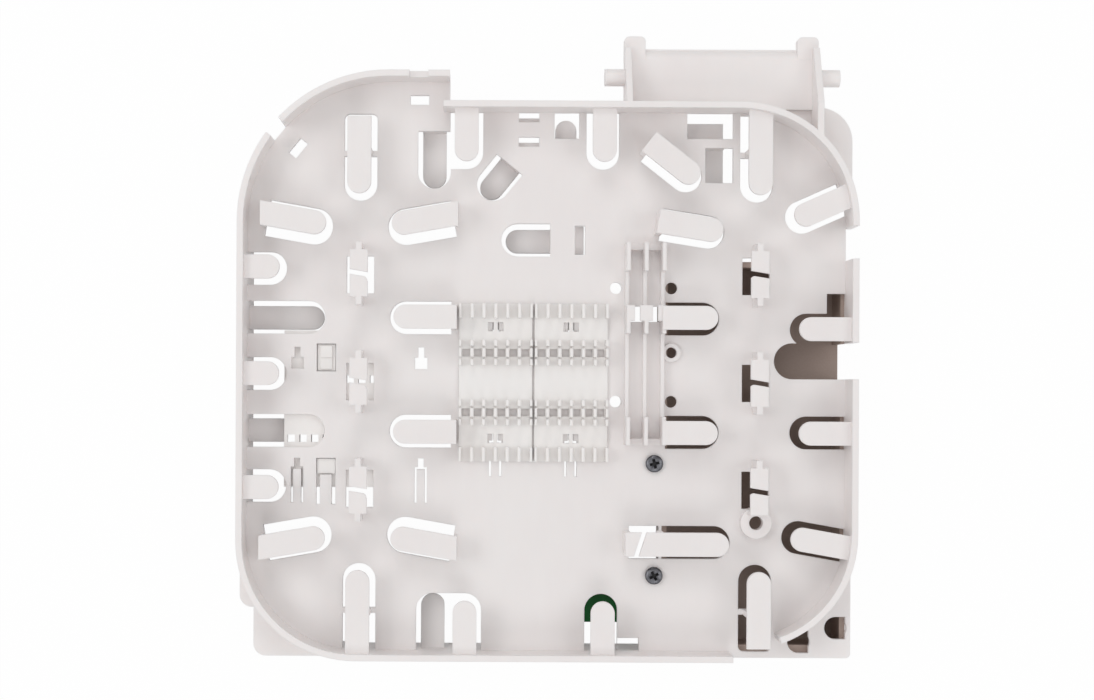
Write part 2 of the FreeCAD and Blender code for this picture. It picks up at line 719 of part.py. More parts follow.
# Fixing holes
fixing_columns = ("(fixing_across - fixing_pitch_across / 2)", "(fixing_across + fixing_pitch_across / 2)")
fixing_rows = ("(fixing_along + fixing_pitch_along / 2)", "(fixing_along - fixing_pitch_along / 2)")
for column in fixing_columns:
    for row in fixing_rows:
        hole(column, row, "fixing_radius")
screw_rows = ("screw_top", "(screw_top - screw_pitch)")
for row in screw_rows:
    hole("screw_across", row, "screw_radius + screw_clearance")


def boss(x, y, radius, bore, height):
    hole(x, y, bore)
    post = cylinder(x, y, under, radius, "floor_thickness + %s" % height)
    waste = cylinder(x, y, cut_low, bore, "floor_thickness + %s + 2" % height)
    fingers.append(cut("Boss", post, [waste]))


boss(fixing_columns[1], "guide_along", "guide_boss_radius", "guide_radius", "guide_boss_height")
boss(right_column, "boss_along", "boss_radius", "boss_hole_radius", "boss_height")

# Splitter channels with low walls, three high jaws and end stops
channel_bottom = "(channel_top - channel_length)"
jaw_lows = ("(channel_top - channel_jaw)", "(upper_row - channel_lip_length)", channel_bottom)
for side in (-1, 0, 1):
    wall_x = "(channel_center + %d * (channel_width + channel_wall) - channel_wall / 2)" % side
    fingers.append(span(wall_x, "%s + channel_wall" % wall_x, channel_bottom, "channel_top",
                        post_low, "%s + channel_low_height" % floor))
    for low in jaw_lows:
        fingers.append(box(wall_x, low, post_low, "channel_wall", "channel_jaw",
                           "channel_high_height + floor_thickness / 2"))
for end in (channel_bottom, "(channel_top - channel_stop)"):
    fingers.append(span(channel_left, channel_right, end, "%s + channel_stop" % end,
                        post_low, "%s + channel_low_height" % floor))
lip_level = "%s + channel_high_height - channel_lip_height" % floor
lip_low = "(upper_row - channel_lip_length + channel_jaw - channel_lip_length)"
for side in (-1, 1):
    trough_x = "(channel_center + %d * (channel_width + channel_wall) / 2)" % side
    near = "%s - channel_width / 2" % trough_x
    far = "%s + channel_width / 2" % trough_x
    opening(near, far, lip_low, "%s + channel_lip_length" % lip_low)
    fingers.append(box("%s - channel_wall / 2" % near, lip_low, lip_level, "channel_lip + channel_wall / 2",
                       "channel_lip_length", "channel_lip_height"))
    fingers.append(box("%s - channel_lip" % far, lip_low, lip_level, "channel_lip + channel_wall / 2",
                       "channel_lip_length", "channel_lip_height"))


# Keyholes and forks that take the feet of the splice holders
def keyhole(x, y):
    neck_low = "(%s + holder_length / 2 - foot_inset - key_neck / 2)" % y
    neck_half = "(foot_width / 2 + foot_clearance)"
    opening("%s - %s" % (x, neck_half), "%s + %s" % (x, neck_half), neck_low, "%s + key_neck" % neck_low)
    opening("%s - key_width / 2" % x, "%s + key_width / 2" % x, "%s - key_length" % neck_low, neck_low)


def fork(x, y):
    foot_y = "(%s - holder_length / 2 + fork_inset)" % y
    half = "(foot_width / 2 + foot_clearance)"
    high = "%s - foot_length / 2 - foot_clearance" % foot_y
    opening("%s - %s" % (x, half), "%s + %s" % (x, half), "%s - fork_slit / 2" % high,
            "%s + foot_length / 2 + foot_clearance" % foot_y)
    opening("%s - fork_pitch / 2 - fork_slit / 2" % x, "%s + fork_pitch / 2 + fork_slit / 2" % x,
            "%s - fork_slit" % high, high)
    low = "%s - holder_length / 2 - fork_overhang" % y
    for side in (-1, 1):
        slit_x = "(%s + %d * fork_pitch / 2)" % (x, side)
        opening("%s - fork_slit / 2" % slit_x, "%s + fork_slit / 2" % slit_x, low, high)


rear_holder_y = "(%s - holder_length / 2)" % rear_top
holder_columns = ("(%s - %s / 2)" % (holder_right_edge, holder_width),
                  "(%s - %s * 3 / 2 - holder_space)" % (holder_right_edge, holder_width))
for column in holder_columns:
    keyhole(column, "holder_center")
    fork(column, "holder_center")
for column in ("spare_across", "(-tray_width / 2 + side_spare_inset)"):
    keyhole(column, rear_holder_y)
    fork(column, rear_holder_y)

rear_window_x = "(%s - holder_pitch / 2)" % rear_holder_x
opening("%s - rear_window_width / 2" % rear_window_x, "%s + rear_window_width / 2" % rear_window_x,
        "%s - rear_window_top - rear_window_depth" % rear_top, "%s - rear_window_top" % rear_top)
opening("%s - rear_window_width / 2" % rear_window_x, "%s + rear_window_width / 2" % rear_window_x,
        "%s - rear_fork_top - rear_fork_depth" % rear_top, "%s - rear_fork_top" % rear_top)
fingers.append(box("%s - rear_tongue_width / 2" % rear_window_x,
                   "%s - rear_fork_top - rear_fork_depth - floor_thickness" % rear_top, under,
                   "rear_tongue_width", "rear_tongue_length + floor_thickness", "floor_thickness"))

# Outline corners of the floor
slots.append(span("%s - 1" % left, "%s + lobe_step_across" % left, "%s - 1" % bottom,
                  "%s + lobe_step_up" % bottom, cut_low, "%s + 1" % floor))
slots.append(corner_waste("LobeCornerSide", "%s + lobe_radius" % left,
                          "(%s + lobe_step_up + lobe_radius)" % bottom, "lobe_radius", -1, -1))
slots.append(corner_waste("LobeCornerBottom", "(%s + lobe_step_across + lobe_radius)" % left,
                          "(%s + lobe_radius)" % bottom, "lobe_radius", -1, -1))
slots.append(corner_waste("HingeFloorCorner", "(%s - hinge_floor_radius)" % right,
                          "(tray_top - hinge_floor_radius)", "hinge_floor_radius", 1, 1))
slots.append(corner_waste("ExitFloorCorner", "(%s - exit_floor_radius)" % right,
                          "(%s + exit_floor_radius)" % bottom, "exit_floor_radius", 1, -1))
floor_plate = cut("FloorPlate", floor_blank, slots)

# Walls: the left, entry and bottom walls run down as skirts, the others stand on the floor
walls = fuse("Walls", [
    span(left, inner_left, bend_y, entry_y, "0", rim),
    ring("EntryWall", entry_x, entry_y, "0", "entry_radius", rim, "90", "90"),
    ring("BendWall", bend_x, bend_y, "0", "bend_radius", rim, "180", "90"),
    span(bend_x, "bottom_wall_end", bottom, inner_bottom, "0", rim),
    span(entry_x, "-entry_end", "%s - wall_thickness" % entry_top, entry_top, under, rim),
    span("-entry_end - wall_thickness", hinge_x, inner_top, top, under, rim),
    ring("HingeWall", hinge_x, hinge_y, under, "hinge_bend_radius", standing, "0", "90"),
    span(inner_right, right, exit_y, hinge_y, under, rim),
    ring("ExitWall", exit_x, exit_y, under, "exit_radius", standing, "-exit_sweep", "exit_sweep"),
])
notches.append(span("%s - latch_gap / 2" % latch_mid_x, "%s + latch_gap / 2" % latch_mid_x,
                    "%s - wall_thickness - 1" % entry_top, "%s + 1" % entry_top, "%s - latch_notch" % rim,
                    "%s + 1" % rim))
notches.append(beam(entry_x, entry_y, "-1", "latch_turn", "entry_radius - wall_thickness - 1",
                    "wall_thickness + 2", "latch_gap", "%s + 2" % rim))
notched_walls = cut("NotchedWalls", walls, notches)

# Hinge trough: raised floor, sloping arms, ears and pins
trough_end = "(tray_top + trough_depth)"


def arm(x, low_y):
    straight = span(x, "%s + wall_thickness" % x, low_y, top, under, rim)
    slope = doc.addObject("Part::Wedge", "ArmSlope")
    bind(slope, {"Xmin": "0", "Xmax": "wall_thickness", "X2min": "0", "X2max": "wall_thickness", "Ymin": "0",
                 "Ymax": "trough_depth", "Zmin": "0", "Z2min": "0", "Zmax": "floor_thickness + wall_height",
                 "Z2max": "floor_thickness + trough_lift + arm_tip_height"})
    return [straight, place(slope, x, top, under)]


def ear(x):
    height = "floor_thickness + trough_lift"
    front_y = "(%s + ear_length - ear_radius)" % trough_end
    body = box(x, "%s - ear_width / 2" % trough_end, under, "ear_width",
               "ear_width / 2 + ear_length - ear_radius", height)
    front = box("%s + ear_radius" % x, front_y, under, "ear_width - 2 * ear_radius", "ear_radius", height)
    rounds = []
    for offset in ("ear_radius", "ear_width - ear_radius"):
        rounds.append(cylinder("%s + %s" % (x, offset), front_y, under, "ear_radius", height))
    return [body, front] + rounds


trough_top = "(skirt_depth + floor_thickness + trough_lift)"
trough_right = "(tray_width / 2 - trough_inset)"
trough_left = "(%s - trough_width)" % trough_right
edge_y = "(tray_top + trough_depth - trough_edge)"
trough = [
    span(trough_left, trough_right, top, edge_y, under, trough_top),
    span(trough_left, trough_right, top, trough_end, under, "%s - trough_edge / 2" % trough_top),
    span("(%s + wall_thickness)" % hinge_x, trough_right, "%s - floor_thickness / 2" % top, top, under,
         trough_top),
]
edge_block = box(trough_left, edge_y, under, "trough_width", "trough_edge", "floor_thickness + trough_lift")
edge_round = lying_rod(trough_left, edge_y, "%s - trough_edge" % trough_top, "trough_edge",
                       "trough_width", "x")
edge = doc.addObject("Part::Common", "TroughEdge")
edge.Base = edge_block
edge.Tool = edge_round
trough.append(edge)
trough.extend(arm(trough_left, inner_top))
arm_rise = "sqrt((hinge_bend_radius - wall_thickness) ^ 2 - (%s - wall_thickness - %s) ^ 2)" % (
    trough_right, hinge_x)
arm_foot = "(%s + %s + wall_thickness / 8)" % (hinge_y, arm_rise)
trough.extend(arm("(%s - wall_thickness)" % trough_right, arm_foot))
trough.extend(ear(trough_left))
trough.extend(ear("(%s - ear_width)" % trough_right))
pin_y = "(tray_top + pin_along)"
pin_z = "(skirt_depth + floor_thickness + pin_lift)"
pin_reach = "(pin_length + wall_thickness / 2)"
trough.append(lying_rod("(%s - pin_length)" % trough_left, pin_y, pin_z, "pin_radius", pin_reach,
                        "x"))
trough.append(lying_rod("(%s - wall_thickness / 2)" % trough_right, pin_y, pin_z, "pin_radius",
                        pin_reach, "x"))

# Panel under the floor that carries the adapter
adapter_low = "(-tray_bottom + adapter_end)"
adapter_mid = "(-tray_bottom + adapter_end + adapter_length / 2)"
panel_face = "(-tray_bottom + adapter_end + adapter_flange_up + adapter_flange)"
adapter_bottom = "(adapter_level - adapter_height / 2)"
panel_half = "(adapter_width / 2 + strip_thickness + panel_clearance)"
panel_low = "(%s - panel_thickness)" % adapter_bottom
panel_plate = box("middle_right - panel_width / 2", panel_face, panel_low, "panel_width", "panel_thickness",
                  "%s - %s" % (post_low, panel_low))
panel_window = span("middle_right - %s" % panel_half, "middle_right + %s" % panel_half,
                    "%s - 1" % panel_face, "%s + panel_thickness + 1" % panel_face,
                    "%s - panel_clearance" % adapter_bottom,
                    "%s + adapter_height + strip_thickness + panel_clearance" % adapter_bottom)
panel = cut("AdapterPanel", panel_plate, [panel_window])

splice_tray = fuse("SpliceTray", [floor_plate, notched_walls, panel] + fingers + trough)
splice_tray.Label = "splice_tray"


# Splice holders: a base with rows of ribs, windows between the grips and two feet
def splice_holder(label, ways, x, y, base_low, rib_low, ribs_up, feet):
    width = "(%s * holder_pitch + holder_rib)" % ways
    count = sizes[ways]
    plates = [middle_box(x, y, base_low, width, "holder_length", "holder_base")]
    end_offset = "(holder_length / 2 - holder_end_zone / 2)"
    outer_offset = "(holder_grip_zone / 4 + holder_nick_offset / 2 + holder_nick / 4)"
    outer_length = "(holder_grip_zone / 2 - holder_nick_offset - holder_nick / 2)"
    zones = []
    for sign in ("+", "-"):
        zones.append(("(%s %s %s)" % (y, sign, end_offset), "holder_end_zone"))
        grip_y = "%s %s holder_grip_offset" % (y, sign)
        zones.append(("(%s)" % grip_y, "(2 * holder_nick_offset - holder_nick)"))
        zones.append(("(%s + %s)" % (grip_y, outer_offset), outer_length))
        zones.append(("(%s - %s)" % (grip_y, outer_offset), outer_length))
    bead_level = "%s + holder_rib_height" % rib_low if ribs_up else rib_low
    for step in range(count + 1):
        rib_x = "(%s - %s / 2 + holder_rib / 2 + %d * holder_pitch)" % (x, width, step)
        for zone_y, zone_length in zones:
            plates.append(middle_box(rib_x, zone_y, rib_low, "holder_rib", zone_length, "holder_rib_height"))
            if 0 < step < count:
                bead_y = "%s - %s / 2" % (zone_y, zone_length)
                plates.append(lying_rod(rib_x, bead_y, bead_level, "holder_bead", zone_length, "y"))
    waste = []
    for step in range(count):
        way_x = "(%s - %s / 2 + holder_rib / 2 + %d.5 * holder_pitch)" % (x, width, step)
        for side in ("+", "-"):
            waste.append(middle_box(way_x, "(%s %s holder_grip_offset)" % (y, side), "%s - 1" % base_low,
                                    "holder_window", "holder_window", "holder_base + 2"))
    for side_x in ("+", "-"):
        for side_y in ("+", "-"):
            waste.append(middle_box("(%s %s holder_pitch * 0.4)" % (x, side_x),
                                    "(%s %s holder_eye_offset)" % (y, side_y), "%s - 1" % base_low,
                                    "holder_eye_width", "holder_eye_length", "holder_base + 2"))
    name = label.title().replace("_", "")
    comb = cut(name + "Comb", fuse(name + "Plates", plates), waste)
    whole = fuse(name, [comb] + feet)
    whole.Label = label
    return whole


def upper_feet(x):
    key_y = "(holder_center + holder_length / 2 - foot_inset)"
    fork_y = "(holder_center - holder_length / 2 + fork_inset)"
    head_z = "%s - foot_clearance - foot_head_height" % under
    return [
        middle_box(x, key_y, head_z, "foot_width", "foot_length",
                   "floor_thickness + holder_base / 2 + foot_clearance + foot_head_height"),
        middle_box(x, key_y, head_z, "foot_head", "foot_length", "foot_head_height"),
        middle_box(x, fork_y, under, "foot_width", "foot_length", "floor_thickness + holder_base / 2"),
    ]


rib_level = "%s + holder_base / 2" % floor
holders = []
for label, column in (("splice_holder_right", holder_columns[0]), ("splice_holder_left", holder_columns[1])):
    holders.append(splice_holder(label, "holder_ways", column, "holder_center", floor, rib_level, True,
                                 upper_feet(column)))
rear_foot_x = "(%s - rear_window_width / 2 + foot_clearance)" % rear_window_x
rear_foot_width = "(rear_window_width - 2 * foot_clearance)"
rear_foot_high = "(%s - rear_window_top - foot_clearance)" % rear_top
rear_foot_low = "(%s - rear_window_top - rear_window_depth + foot_clearance)" % rear_top
base_mid = "(skirt_depth - holder_base / 2)"
rear_key_x = "(%s + rear_foot_edge)" % rear_foot_x
rear_key_right = "(%s + %s - rear_foot_edge)" % (rear_foot_x, rear_foot_width)
rear_key_mid = "(%s + %s) / 2" % (rear_foot_low, rear_foot_high)
rear_feet = [
    span(rear_foot_x, "%s + %s" % (rear_foot_x, rear_foot_width), rear_foot_low, rear_foot_high, base_mid,
         post_low),
    span(rear_key_x, rear_key_right, rear_key_mid, "%s - rear_foot_edge / 2" % rear_foot_high, base_mid,
         floor),
    span(rear_key_x, rear_key_right, "%s + rear_foot_edge / 2" % rear_foot_low, rear_key_mid, base_mid,
         "%s - rear_foot_step" % floor),
    box(rear_foot_x, "%s - rear_fork_top - foot_clearance - 2 * foot_length" % rear_top, base_mid,
        rear_foot_width, "2 * foot_length", "floor_thickness / 2 + holder_base / 2"),
]
holders.append(splice_holder("rear_splice_holder", "rear_holder_ways", rear_holder_x, rear_holder_y,
                             "%s - holder_base" % under, "%s - holder_rib_height" % base_mid, False,
                             rear_feet))

# Rear cover: plate, four walls with a gap at the fibre port, and two screw bosses beside them
cover_right = "(tray_width / 2 - cover_inset)"
cover_bottom = "(-tray_bottom + wall_thickness + cover_space)"
cover_edge = "(%s + cover_wall)" % cover_bottom
cover_members = [
    span("cover_partition", cover_right, cover_bottom, "cover_top", "0", "cover_plate"),
    span("cover_partition", "cover_partition + cover_wall", cover_bottom, "cover_top", "0", under),
    span("%s - cover_wall" % cover_right, cover_right, cover_bottom, "cover_top", "0", under),
    span("cover_partition", cover_right, cover_bottom, cover_edge, "0", under),
    span("bottom_wall_end + cover_space", cover_right, "-tray_bottom + cover_inset", cover_edge, "0", under),
    span("cover_partition", cover_right, "cover_top - cover_wall", "cover_top", "0", under),
]
cover_waste = [span("%s - cover_wall - 1" % cover_right, "%s + 1" % cover_right,
                    "port_center - port_width / 2", "port_center + port_width / 2", "cover_plate",
                    "%s + 1" % under)]
for row in screw_rows:
    cover_members.append(cylinder("screw_across", row, "0", "cover_boss_radius", under))
    cover_members.append(span("screw_across", "cover_partition + cover_wall / 2",
                              "%s - cover_boss_radius" % row, "%s + cover_boss_radius" % row, "0", under))
    cover_waste.append(cylinder("screw_across", row, "%s - screw_length" % floor,
                                "screw_radius + screw_pilot_gap", "screw_length"))
rear_cover = cut("RearCover", fuse("CoverSolid", cover_members), cover_waste)
rear_cover.Label = "rear_cover"

# Screws with a cross recess
shank_low = "%s + screw_head_height - screw_length" % floor
recess_low = "%s + screw_head_height - screw_recess_depth" % floor
recess_run = "screw_recess_depth + 1"
screw_bodies = []
for index, row in enumerate(screw_rows):
    blank = fuse("ScrewBlank%d" % index, [
        cylinder("screw_across", row, shank_low, "screw_radius", "screw_length"),
        cylinder("screw_across", row, floor, "screw_head_radius", "screw_head_height"),
    ])
    screw_bodies.append(cut("Screw%d" % index, blank, [
        middle_box("screw_across", row, recess_low, "screw_recess_length", "screw_recess_width", recess_run),
        middle_box("screw_across", row, recess_low, "screw_recess_width", "screw_recess_length", recess_run),
    ]))
tray_screws = doc.addObject("Part::Compound", "TrayScrews")
tray_screws.Links = screw_bodies
tray_screws.Label = "tray_screws"

# Adapter housing: two ports, a web between them, a flange and the key slots
plug_width = "(adapter_width - 2 * adapter_wall)"
plug_height = "(adapter_height - 2 * adapter_wall)"
plug_length = "(adapter_length / 2 - adapter_web / 2)"
housing_solid = fuse("HousingSolid", [
    middle_box("middle_right", adapter_mid, adapter_bottom, "adapter_width", "adapter_length",
               "adapter_height"),
    box("middle_right - adapter_flange_width / 2", "%s - adapter_flange" % panel_face, adapter_bottom,
        "adapter_flange_width", "adapter_flange", "adapter_height"),
])
plug_floor = "(adapter_level - %s / 2)" % plug_height
housing_waste = [lying_rod("middle_right", "%s - adapter_web" % adapter_mid, "adapter_level",
                           "sleeve_radius + sleeve_space", "2 * adapter_web", "y")]
for low in ("%s - 1" % adapter_low, "%s + adapter_web / 2" % adapter_mid):
    housing_waste.append(box("middle_right - %s / 2" % plug_width, low, plug_floor, plug_width,
                             "%s + 1" % plug_length, plug_height))
for low in ("%s - 1" % adapter_low, "%s + adapter_length / 2 - adapter_key_length" % adapter_mid):
    housing_waste.append(box("middle_right - adapter_key_width / 2", low, "adapter_level",
                             "adapter_key_width", "adapter_key_length + 1", "adapter_height"))
adapter_housing = cut("AdapterHousing", housing_solid, housing_waste)
adapter_housing.Label = "adapter_housing"


# Latch inserts: a plate on the web, a tube round the sleeve and two hooked arms
def adapter_latch(label, side):
    face = "(%s + %d * adapter_web / 2)" % (adapter_mid, side)

    def along(start, length):
        if side > 0:
            return "%s + (%s)" % (face, start)
        return "%s - (%s) - (%s)" % (face, start, length)

    plate_width = "(%s - 2 * latch_fit)" % plug_width
    plate_height = "(%s - 2 * latch_fit)" % plug_height
    plate_low = "adapter_level - %s / 2" % plate_height
    arm_low = "adapter_level - latch_arm_height / 2"
    hook_y = along("latch_arm_length - latch_hook_length", "latch_hook_length")
    pieces = [
        box("middle_right - %s / 2" % plate_width, along("0", "latch_plate"), plate_low, plate_width,
            "latch_plate", plate_height),
        lying_rod("middle_right", along("0", "latch_tube_length"), "adapter_level", "latch_tube_radius",
                  "latch_tube_length", "y"),
    ]
    for hand in (-1, 1):
        outer = "(middle_right + %d * %s / 2)" % (hand, plate_width)
        low = outer if hand < 0 else "%s - latch_arm" % outer
        pieces.append(box(low, along("0", "latch_arm_length"), arm_low, "latch_arm", "latch_arm_length",
                          "latch_arm_height"))
        hook = low if hand < 0 else "%s - latch_hook" % low
        pieces.append(box(hook, hook_y, arm_low, "latch_arm + latch_hook", "latch_hook_length",
                          "latch_arm_height"))
    bore_length = "(latch_tube_length - latch_tube_lip)"
    bores = [
        lying_rod("middle_right", along("0", bore_length), "adapter_level", "sleeve_radius + sleeve_space",
                  bore_length, "y"),
        lying_rod("middle_right", along("0", "latch_tube_length + 1"), "adapter_level", "latch_tube_mouth",
                  "latch_tube_length + 1", "y"),
    ]
    name = label.title().replace("_", "")
    insert = cut(name, fuse(name + "Solid", pieces), bores)
    insert.Label = label
    return insert


latches = [adapter_latch("adapter_latch_front", -1), adapter_latch("adapter_latch_rear", 1)]

# Split alignment sleeve
sleeve_half = "(adapter_web / 2 + latch_tube_length - latch_tube_lip)"
sleeve_low = "(%s - %s)" % (adapter_mid, sleeve_half)
sleeve_length = "(2 * %s)" % sleeve_half
sleeve_run = "%s + 2" % sleeve_length
sleeve_tube = lying_rod("middle_right", sleeve_low, "adapter_level", "sleeve_radius", sleeve_length, "y")
alignment_sleeve = cut("AlignmentSleeve", sleeve_tube, [
    lying_rod("middle_right", "%s - 1" % sleeve_low, "adapter_level", "sleeve_bore", sleeve_run, "y"),
    box("middle_right - sleeve_slit / 2", "%s - 1" % sleeve_low, "adapter_level", "sleeve_slit", sleeve_run,
        "2 * sleeve_radius"),
])
alignment_sleeve.Label = "alignment_sleeve"

# Steel strip over the housing, with two wings that press on the panel
strip_low = "(%s + panel_thickness + panel_clearance)" % panel_face
strip_top = "(adapter_level + adapter_height / 2)"
strip_half = "(adapter_width / 2 + strip_thickness)"
strip_pieces = [box("middle_right - %s" % strip_half, strip_low, strip_top, "2 * %s" % strip_half,
                    "strip_width", "strip_thickness")]
for hand in (-1, 1):
    edge_x = "(middle_right - %s)" % strip_half if hand < 0 else "(middle_right + adapter_width / 2)"
    strip_pieces.append(box(edge_x, strip_low, "adapter_level", "strip_thickness", "strip_width",
                            "adapter_height / 2 + strip_thickness"))
    wing_x = "(middle_right + %d * (adapter_width / 2 + strip_thickness / 2))" % hand
    wing_y = "(%s + strip_width - strip_thickness)" % strip_low
    wing_turn = "(270 + %d * strip_wing_turn)" % hand
    strip_pieces.append(beam(wing_x, wing_y, "adapter_level", wing_turn, "0", "strip_wing_length",
                             "strip_thickness", "adapter_height / 3"))
adapter_spring_clip = fuse("AdapterSpringClip", strip_pieces)
adapter_spring_clip.Label = "adapter_spring_clip"

doc.recompute()

nodes = [splice_tray, rear_cover, tray_screws, adapter_housing, alignment_sleeve, adapter_spring_clip]
nodes += holders + latches
for thing in doc.Objects:
    if "Invalid" in thing.State or "Error" in thing.State:
        raise RuntimeError("%s did not build: %s" % (thing.Name, thing.State))
for node in nodes:
    if node.Shape.isNull() or not node.Shape.isValid():
        raise RuntimeError("%s has no valid shape" % node.Label)

os.makedirs("parts", exist_ok=True)
for node in nodes:
    node.Shape.exportStep("parts/%s.step" % node.Label)
    print(node.Label, len(node.Shape.Solids), round(node.Shape.Volume, 1))
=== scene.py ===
import json
import math

import bmesh
import bpy
from mathutils import Matrix, Vector


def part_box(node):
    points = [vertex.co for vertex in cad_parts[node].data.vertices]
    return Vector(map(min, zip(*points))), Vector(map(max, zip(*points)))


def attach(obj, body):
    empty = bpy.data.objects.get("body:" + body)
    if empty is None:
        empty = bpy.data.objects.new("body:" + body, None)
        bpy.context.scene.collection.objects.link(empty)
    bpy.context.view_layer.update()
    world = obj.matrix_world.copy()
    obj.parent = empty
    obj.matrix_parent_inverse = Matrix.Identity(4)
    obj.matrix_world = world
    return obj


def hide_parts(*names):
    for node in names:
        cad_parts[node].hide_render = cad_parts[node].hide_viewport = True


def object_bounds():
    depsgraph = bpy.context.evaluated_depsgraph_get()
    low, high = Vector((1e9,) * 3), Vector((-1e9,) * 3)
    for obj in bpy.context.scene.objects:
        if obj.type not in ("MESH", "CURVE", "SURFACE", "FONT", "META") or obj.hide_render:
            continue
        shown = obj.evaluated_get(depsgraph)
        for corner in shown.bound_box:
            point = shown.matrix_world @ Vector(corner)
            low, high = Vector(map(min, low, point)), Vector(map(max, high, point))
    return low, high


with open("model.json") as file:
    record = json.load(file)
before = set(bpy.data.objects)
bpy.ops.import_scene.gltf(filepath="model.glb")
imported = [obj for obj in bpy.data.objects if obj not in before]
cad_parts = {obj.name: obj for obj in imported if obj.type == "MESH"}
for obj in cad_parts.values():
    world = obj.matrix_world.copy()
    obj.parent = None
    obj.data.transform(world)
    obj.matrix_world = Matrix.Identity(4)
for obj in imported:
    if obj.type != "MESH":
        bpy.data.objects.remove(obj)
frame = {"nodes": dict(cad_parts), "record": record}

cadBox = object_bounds()
nodes = frame["nodes"]
scene = bpy.context.scene
scene.view_settings.view_transform = "Standard"
mm = 0.001

cameraRig = {
    "place": (-0.0232, -0.0150, 0.618),
    "turn": 0.27,  # degrees, the tray lies a little askew in the picture
    "lens": 61.2,
    "sensor": 36.0,
    "shift": (0.0667, 0.0393),
    "nearest": 0.01,
}


def makeCamera():
    data = bpy.data.cameras.new("camera")
    data.lens = cameraRig["lens"]
    data.sensor_width = cameraRig["sensor"]
    data.shift_x, data.shift_y = cameraRig["shift"]
    data.clip_start = cameraRig["nearest"]
    camera = bpy.data.objects.new("camera", data)
    camera.location = cameraRig["place"]
    camera.rotation_euler = (0.0, 0.0, math.radians(cameraRig["turn"]))
    scene.collection.objects.link(camera)
    scene.camera = camera


makeCamera()
print("camera: set")


class Wire:  # one shader socket, used in sums
    def __init__(self, finish, socket):
        self.finish = finish
        self.socket = socket

    def join(self, operation, first, second):
        return self.finish.add("ShaderNodeMath", {"operation": operation}, {0: first, 1: second})

    def __add__(self, other):
        return self.join("ADD", self, other)

    __radd__ = __add__

    def __sub__(self, other):
        return self.join("SUBTRACT", self, other)

    def __rsub__(self, other):
        return self.join("SUBTRACT", other, self)

    def __mul__(self, other):
        return self.join("MULTIPLY", self, other)

    __rmul__ = __mul__

    def __gt__(self, other):
        return self.join("GREATER_THAN", self, other)

    def __lt__(self, other):
        return self.join("LESS_THAN", self, other)


# bevel samples for the rounded edges, and where the lighter painted edge highlight fades in
edgeRoundAndHighlight = {
    "samples": 6,
    "faint": 0.02,  # turn of the rounded normal where the painted edge highlight begins
    "full": 0.25,
}


class Finish:  # one material or world and the nodes in it
    def __init__(self, owner):
        self.owner = owner
        owner.use_nodes = True
        self.tree = owner.node_tree
        self.tree.nodes.clear()

    def add(self, kind, settings=None, inputs=None, output=0):
        item = self.tree.nodes.new(kind)
        for key, value in (settings or {}).items():
            if key == "stops":
                self.fillRamp(item.color_ramp, value)
            else:
                setattr(item, key, value)
        for key, value in (inputs or {}).items():
            socket = item.inputs[key]
            if isinstance(value, Wire):
                self.tree.links.new(value.socket, socket)
            else:
                socket.default_value = value
        if not len(item.outputs):
            return None
        return Wire(self, item.outputs[output])

    def fillRamp(self, ramp, stops):
        while len(ramp.elements) > len(stops):
            ramp.elements.remove(ramp.elements[-1])
        while len(ramp.elements) < len(stops):
            ramp.elements.new(1.0)
        for element, (place, value) in zip(ramp.elements, stops):
            element.position = place
            element.color = (value, value, value, 1.0)

    def place(self):
        return self.add("ShaderNodeTexCoord", output="Object")

    def noise(self, vector, scale, detail=3.0, roughness=0.5):
        return self.add("ShaderNodeTexNoise", {}, {"Vector": vector, "Scale": scale, "Detail": detail,
                                                   "Roughness": roughness}, "Fac")

    def stretch(self, vector, scale, turn=(0.0, 0.0, 0.0)):
        return self.add("ShaderNodeMapping", {}, {"Vector": vector, "Scale": scale, "Rotation": turn})

    def ramp(self, value, low, high):
        return self.add("ShaderNodeValToRGB", {"stops": [(low, 0.0), (high, 1.0)]}, {"Fac": value})

    def blend(self, factor, first, second):
        return self.add("ShaderNodeMix", {"data_type": "RGBA"}, {"Factor": factor, 6: first, 7: second}, 2)

    def softEdges(self, radius):
        return self.add("ShaderNodeBevel", {"samples": edgeRoundAndHighlight["samples"]}, {"Radius": radius})

    def edgeMask(self, rounded):  # 1 along convex and concave edges, 0 on flats; the mask of the painted edge highlight
        flat = self.add("ShaderNodeNewGeometry", output="True Normal")
        along = self.add("ShaderNodeVectorMath", {"operation": "DOT_PRODUCT"}, {0: rounded, 1: flat},
                         "Value")
        return self.ramp(1.0 - along, edgeRoundAndHighlight["faint"], edgeRoundAndHighlight["full"])

    def relief(self, height, strength, distance, normal=None):
        inputs = {"Height": height, "Strength": strength, "Distance": distance}
        if normal is not None:
            inputs["Normal"] = normal
        return self.add("ShaderNodeBump", {}, inputs)

    def close(self, inputs):
        shader = self.add("ShaderNodeBsdfPrincipled", {}, inputs)
        self.add("ShaderNodeOutputMaterial", {}, {"Surface": shader})


def colour(red, green, blue):
    return (red, green, blue, 1.0)


def newFinish(name):
    return Finish(bpy.data.materials.new(name))


trayPlastic = {
    "plain": colour(0.880, 0.845, 0.835),
    "warm": colour(0.862, 0.820, 0.812),
    "edge": colour(0.885, 0.852, 0.842),
    "speck": colour(0.330, 0.290, 0.270),
    "roughness": 0.46,
    "edgeRadius": 0.25 * mm,
    "speckCell": 70.0,  # cells per metre
    "glow": 0.40,  # share of light that goes into the plastic
    "glowReach": 2.2 * mm,
}


